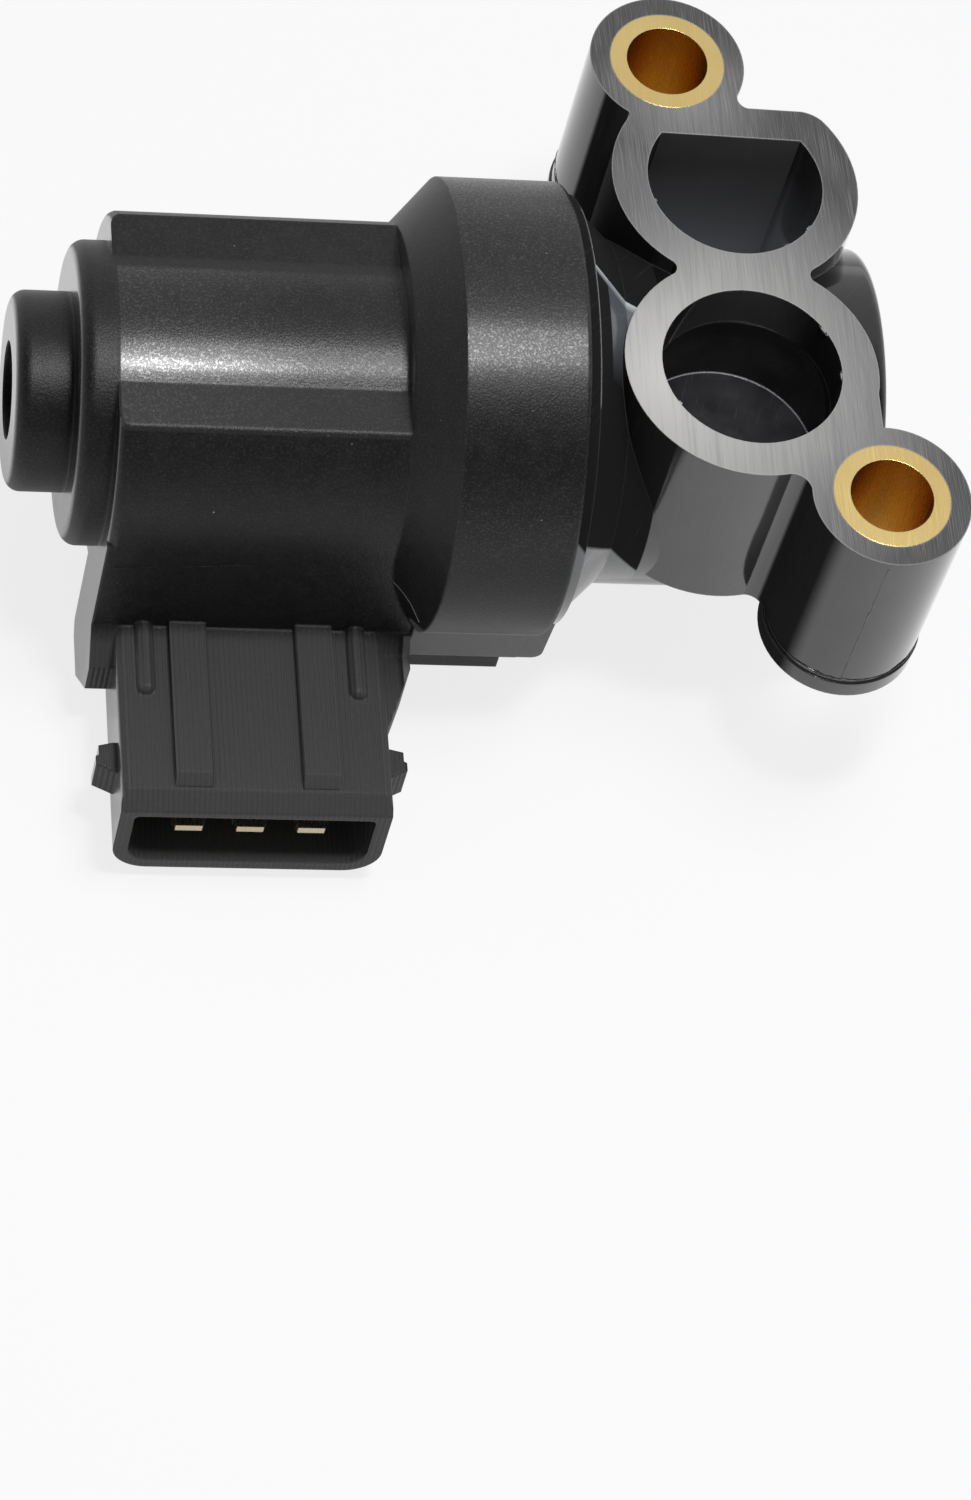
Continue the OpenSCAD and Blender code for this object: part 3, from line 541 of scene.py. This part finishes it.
def metalMaterial(name):
    look, finish = metalLooks[name], metalFinish
    material, tree, shader, coords = startMaterial(name)
    edges = fillGroup(tree, edgeGroup, {"Radius": look["edge"], "Reach": finish["reach"]})
    scratches = fillGroup(tree, scratchGroup, finish["scratches"], Coords=coords, Width=look["width"])
    clouds = fillGroup(tree, grainGroup, finish["clouds"], Coords=coords)
    tone = mixColour(tree, ramp(tree, clouds["Tone"], *finish["cloud"]), look["colour"], look["deep"])
    worn = tuple(min(1, part * finish["wearLight"]) for part in look["colour"])
    tone = mixColour(tree, times(tree, edges["Wear"], finish["wearShare"]), tone, worn)
    # a deeper amber on walls that face sideways: painted shade in the bores
    if "inner" in look:
        upright = maths(tree, "ABSOLUTE", facing(tree)[2])
        onInside = maths(tree, "LESS_THAN", upright, finish["innerFacing"])
        tone = mixColour(tree, onInside, tone, look["inner"])
    tree.links.new(tone, shader.inputs["Base Color"])
    shader.inputs["Metallic"].default_value = 1.0
    smooth, dull = look["rough"] - finish["smoother"], look["rough"] + finish["rougher"]
    rough = ramp(tree, scratches["Mask"], 0.0, 1.0, smooth, dull)
    tree.links.new(rough, shader.inputs["Roughness"])
    bumpInto(tree, shader, scratches["Height"], look["depth"], edges["Normal"])
    return material


# plastics, rubber, magnet and lint; the slide's near-white edge colour is a painted glint along its pocket's
# rim, for the others it is wear
plasticLooks = {
    "slidePlastic": {"colour": (0.021, 0.021, 0.023), "paler": (0.036, 0.036, 0.040),
                     "worn": (0.88, 0.88, 0.90), "rough": 0.24, "grain": 0.35, "depth": 0.004, "edge": 0.26},
    "bobbinNylon": {"colour": (0.62, 0.57, 0.46), "paler": (0.70, 0.66, 0.56),
                    "worn": (0.80, 0.78, 0.70), "rough": 0.45, "grain": 0.3, "depth": 0.01, "edge": 0.12},
    "sealRubber": {"colour": (0.018, 0.018, 0.018), "paler": (0.035, 0.035, 0.035),
                   "worn": (0.08, 0.08, 0.08), "rough": 0.6, "grain": 0.25, "depth": 0.012, "edge": 0.12},
    "magnetDark": {"colour": (0.055, 0.055, 0.06), "paler": (0.11, 0.11, 0.115),
                   "worn": (0.20, 0.20, 0.20), "rough": 0.5, "grain": 0.2, "depth": 0.02, "edge": 0.12},
    "lintFibre": {"colour": (0.30, 0.29, 0.28), "paler": (0.42, 0.41, 0.40),
                  "worn": (0.5, 0.5, 0.5), "rough": 0.6, "grain": 0.3, "depth": 0.004, "edge": 0.12},
}
plasticFinish = {
    "reach": 0.15, "coarse": 0.4, "scuffs": {"Turn": 0.3, "Width": 0.2, "Length": 3.0, "Share": 0.3},
    "cloud": (0.35, 0.7), "scuffShare": 0.03, "wearShare": 0.7, "roughFrom": (0.3, 0.7),
    "smoother": 0.05, "rougher": 0.06,
}


def plasticMaterial(name):
    look, finish = plasticLooks[name], plasticFinish
    material, tree, shader, coords = startMaterial(name)
    edges = fillGroup(tree, edgeGroup, {"Radius": look["edge"], "Reach": finish["reach"]})
    grain = fillGroup(tree, grainGroup, {"Size": look["grain"], "Coarse": finish["coarse"]}, Coords=coords)
    scuff = fillGroup(tree, scratchGroup, finish["scuffs"], Coords=coords)
    tone = mixColour(tree, ramp(tree, grain["Tone"], *finish["cloud"]), look["colour"], look["paler"])
    tone = layered(tree, tone, look, (
        ("worn", times(tree, scuff["Mask"], finish["scuffShare"])),
        ("worn", times(tree, edges["Wear"], finish["wearShare"])),
    ))
    tree.links.new(tone, shader.inputs["Base Color"])
    smooth, dull = look["rough"] - finish["smoother"], look["rough"] + finish["rougher"]
    rough = ramp(tree, grain["Tone"], *finish["roughFrom"], smooth, dull)
    tree.links.new(rough, shader.inputs["Roughness"])
    bumpInto(tree, shader, grain["Height"], look["depth"], edges["Normal"])
    return material


metalSlots = {"brass": "sleeveBrass", "tin": "bladeTin", "steel": "groundSteel", "alloy": "castAlloy",
              "copper": "copperWire"}
plasticSlots = {"slide": "slidePlastic", "bobbin": "bobbinNylon", "seal": "sealRubber",
                "magnet": "magnetDark"}
materials = {"housing": housingBlack(), "valve": valveBlack()}
for slot, name in metalSlots.items():
    materials[slot] = metalMaterial(name)
for slot, name in plasticSlots.items():
    materials[slot] = plasticMaterial(name)
lintFibre = plasticMaterial("lintFibre")
slotOf = {part["node"]: part["material_slot"] for part in frame["record"]["subparts"]}
for name, node in nodes.items():
    node.data.materials.clear()
    node.data.materials.append(materials[slotOf[name]])
print("stage: materials on", len(nodes), "nodes")


# thin lines are curves with a round section; points in mm, each with its share of the radius
def thinLine(name, points, radius, material, closed=False):
    data = bpy.data.curves.new(name, "CURVE")
    data.dimensions = "3D"
    data.bevel_depth = radius * mm
    data.bevel_resolution = 1
    spline = data.splines.new("POLY")
    spline.points.add(len(points) - 1)
    for point, (place, thickness) in zip(spline.points, points):
        point.co = (*(Vector(place) * mm), 1)
        point.radius = thickness
    spline.use_cyclic_u = closed
    data.materials.append(material)
    piece = bpy.data.objects.new(name, data)
    bpy.context.scene.collection.objects.link(piece)
    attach(piece, "valve")


def onCircle(centre, radius, degrees, z):
    angle = math.radians(degrees)
    return (centre[0] + radius * math.cos(angle), centre[1] + radius * math.sin(angle), z)


# the ragged flash left where the bosses' mould halves met
flashes = {
    "upperFlash": {"centre": (-4.2, 30.0), "z": -15.9, "radius": 6.45, "reach": 0.10, "line": 0.06},
    "lowerFlash": {"centre": (10.1, -11.9), "z": -17.4, "radius": 6.45, "reach": 0.12, "line": 0.07},
}
flashEdge = {"steps": 72, "wave": 0.10, "carry": 0.6, "thinnest": 0.35}
for name, flash in flashes.items():
    points = []
    drift = 0.0
    for step in range(flashEdge["steps"]):
        drift = flashEdge["carry"] * drift + random.uniform(-1, 1) * flashEdge["wave"]
        out = flash["radius"] + random.uniform(0.0, 1.0) ** 2 * flash["reach"]
        place = onCircle(flash["centre"], out, step * 360 / flashEdge["steps"], flash["z"] + drift)
        points.append((place, random.uniform(flashEdge["thinnest"], 1.0)))
    thinLine(name, points, flash["line"], materials["valve"], closed=True)

# the parting line down the front of the lower boss
bossLine = {"centre": (10.1, -11.9), "radius": 6.44, "angle": -97.5, "sway": 0.35,
            "top": -0.8, "bottom": -17.3, "steps": 22, "thickness": (0.6, 1.2), "line": 0.05}
points = []
for step in range(bossLine["steps"] + 1):
    z = bossLine["top"] + (bossLine["bottom"] - bossLine["top"]) * step / bossLine["steps"]
    angle = bossLine["angle"] + random.uniform(-bossLine["sway"], bossLine["sway"])
    place = onCircle(bossLine["centre"], bossLine["radius"], angle, z)
    points.append((place, random.uniform(*bossLine["thickness"])))
thinLine("bossLine", points, bossLine["line"], materials["valve"])

# small burrs on the ports' ground edges; angles in degrees round each port
portBurrs = {
    "roundPortBurr": {"centre": (0.0, 0.0), "radius": 7.30, "spans": ((26, 36), (-8, 0), (208, 214))},
    "dPortBurr": {"centre": (0.38, 18.2), "radius": 7.23, "spans": ((-42, -34), (-62, -56), (196, 201))},
}
burrEdge = {"steps": 8, "z": -0.14, "lean": 0.06, "thickness": (0.6, 1.3), "least": 0.05, "line": 0.13}
for name, burr in portBurrs.items():
    for index, (start, end) in enumerate(burr["spans"]):
        points = []
        for step in range(burrEdge["steps"] + 1):
            share = step / burrEdge["steps"]
            swell = math.sin(math.pi * share)
            radius = burr["radius"] - burrEdge["lean"] * swell
            place = onCircle(burr["centre"], radius, start + (end - start) * share, burrEdge["z"])
            points.append((place, swell * random.uniform(*burrEdge["thickness"]) + burrEdge["least"]))
        thinLine(f"{name}{index + 1}", points, burrEdge["line"], materials["valve"])

# the seam along the motor's front side
seam = {"left": (-49.4, -9.43, -17.9), "right": (-38.2, -9.43, -16.9), "steps": 24,
        "sway": 0.03, "thickness": (0.5, 1.2), "line": 0.05}
points = []
for step in range(seam["steps"] + 1):
    place = Vector(seam["left"]).lerp(Vector(seam["right"]), step / seam["steps"])
    place.z += random.uniform(-seam["sway"], seam["sway"])
    points.append((tuple(place), random.uniform(*seam["thickness"])))
thinLine("sideSeam", points, seam["line"], materials["housing"])

# the pad under the collar hooks over the joint's edge; section in x and z, in mm
padEnd = {"left": -15.6, "right": -12.55, "front": -9.66, "back": -7.2, "top": -24.6, "bottom": -29.45,
          "corner": 0.9, "steps": 6, "lip": 0.25, "lipHeight": 0.6}
section = [(padEnd["left"], padEnd["top"]), (padEnd["left"], padEnd["bottom"])]
for step in range(padEnd["steps"] + 1):
    angle = math.radians(90 * step / padEnd["steps"])
    x = padEnd["right"] - padEnd["corner"] * (1 - math.sin(angle))
    section.append((x, padEnd["bottom"] + padEnd["corner"] * (1 - math.cos(angle))))
section.append((padEnd["right"] + padEnd["lip"], padEnd["top"] + padEnd["lipHeight"]))
count = len(section)
corners = [(x * mm, y * mm, z * mm) for y in (padEnd["front"], padEnd["back"]) for x, z in section]
sides = [(i, (i + 1) % count, (i + 1) % count + count, i + count) for i in range(count)]
padMesh = bpy.data.meshes.new("padEnd")
padMesh.from_pydata(corners, [], [tuple(range(count))[::-1], tuple(range(count, 2 * count)), *sides])
padMesh.update()
padMesh.materials.append(materials["housing"])
padPiece = bpy.data.objects.new("padEnd", padMesh)
bpy.context.scene.collection.objects.link(padPiece)
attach(padPiece, "valve")

# a fibre that lies on the cone: the cone's x and radius at two places,
# then x and the angle from the top round the motor's axis, in degrees
fibre = {
    "axis": (5.3, -14.95), "start": (-27.0, 14.7), "end": (-23.5, 18.55), "lift": 0.03, "line": 0.035,
    "route": ((-26.8, -104.6), (-26.3, -104.7), (-25.7, -105.2), (-25.1, -106.9),
              (-24.6, -109.8), (-24.1, -113.0)),
}
points = []
for x, degrees in fibre["route"]:
    share = (x - fibre["start"][0]) / (fibre["end"][0] - fibre["start"][0])
    radius = fibre["start"][1] + share * (fibre["end"][1] - fibre["start"][1]) + fibre["lift"]
    angle = math.radians(degrees)
    y = fibre["axis"][0] + radius * math.sin(angle)
    points.append(((x, y, fibre["axis"][1] + radius * math.cos(angle)), 1.0))
thinLine("coneFibre", points, fibre["line"], lintFibre)
print("stage: moulding lines")

# a white floor that keeps the object's shadow
floorLook = {"size": 3.0, "gap": 0.0002, "colour": (0.92, 0.92, 0.92), "glow": 0.8, "mirrored": 0.42}
floorMesh = bpy.data.meshes.new("floor")
half = floorLook["size"] / 2
floorZ = cadBox[0][2] - floorLook["gap"]
corners = [(-half, -half, floorZ), (half, -half, floorZ), (half, half, floorZ), (-half, half, floorZ)]
floorMesh.from_pydata(corners, [], [(0, 1, 2, 3)])
floor = bpy.data.objects.new("floor", floorMesh)
bpy.context.scene.collection.objects.link(floor)
floorMaterial = bpy.data.materials.new("floorPaper")
floorMaterial.use_nodes = True
tree = floorMaterial.node_tree
tree.nodes.clear()
out = tree.nodes.new("ShaderNodeOutputMaterial")
paper = addNode(tree, "ShaderNodeBsdfDiffuse", {"Color": floorLook["colour"]})
glow = addNode(tree, "ShaderNodeEmission", {"Strength": 1.0})
path = tree.nodes.new("ShaderNodeLightPath").outputs
seen = times(tree, larger(tree, path["Is Camera Ray"], path["Is Transmission Ray"]), floorLook["glow"])
seen = larger(tree, seen, times(tree, path["Is Glossy Ray"], floorLook["mirrored"]))
mixer = addNode(tree, "ShaderNodeMixShader", {0: seen, 1: paper.outputs[0], 2: glow.outputs[0]})
tree.links.new(mixer.outputs[0], out.inputs["Surface"])
floorMesh.materials.append(floorMaterial)

# reflections show a white horizon and a darker room over and behind the camera
room = {
    "soft": 0.28, "horizon": (0.12, 0.42), "low": 0.3, "lowFrom": (-0.5, 0.0),
    "front": -0.05, "behind": 0.48, "dark": 0.06, "back": 0.72, "turn": 0.4,
}
world = bpy.data.worlds.new("studio")
bpy.context.scene.world = world
world.use_nodes = True
tree = world.node_tree
tree.nodes.clear()
out = tree.nodes.new("ShaderNodeOutputWorld")
x, y, z = split(tree, tree.nodes.new("ShaderNodeTexCoord").outputs["Generated"])
inward = plus(tree, y, times(tree, x, room["turn"]))
backdrop = ramp(tree, inward, room["front"], room["behind"], room["dark"], room["back"])
inFront = ramp(tree, y, *room["lowFrom"], room["low"], 1.0)
horizon = times(tree, ramp(tree, z, *room["horizon"], 1.0, 0.0), inFront)
path = tree.nodes.new("ShaderNodeLightPath").outputs
strength = mixValue(tree, path["Is Glossy Ray"], room["soft"], larger(tree, backdrop, horizon))
strength = mixValue(tree, larger(tree, path["Is Camera Ray"], path["Is Transmission Ray"]), strength, 1.0)
light = addNode(tree, "ShaderNodeBackground", {"Color": (1.0, 1.0, 1.0), "Strength": strength})
tree.links.new(light.outputs[0], out.inputs["Surface"])

# soft boxes: place, target and size in mm, power in watts
softBoxes = {
    "overhead": {"place": (25, -12, 300), "target": (-20, 0, -5), "size": (100, 90), "power": 0.38},
    "small": {"place": (-10, -58, 296), "target": (-45, 0, -5), "size": (40, 30), "power": 0.34},
}
for name, box in softBoxes.items():
    data = bpy.data.lights.new(name, "AREA")
    data.shape = "RECTANGLE"
    data.size = box["size"][0] * mm
    data.size_y = box["size"][1] * mm
    data.energy = box["power"]
    lamp = bpy.data.objects.new(name, data)
    bpy.context.scene.collection.objects.link(lamp)
    place = Vector(box["place"]) * mm
    aim = Vector(box["target"]) * mm - place
    lamp.matrix_world = Matrix.Translation(place) @ aim.to_track_quat("-Z", "Y").to_matrix().to_4x4()
print("stage: floor and light")
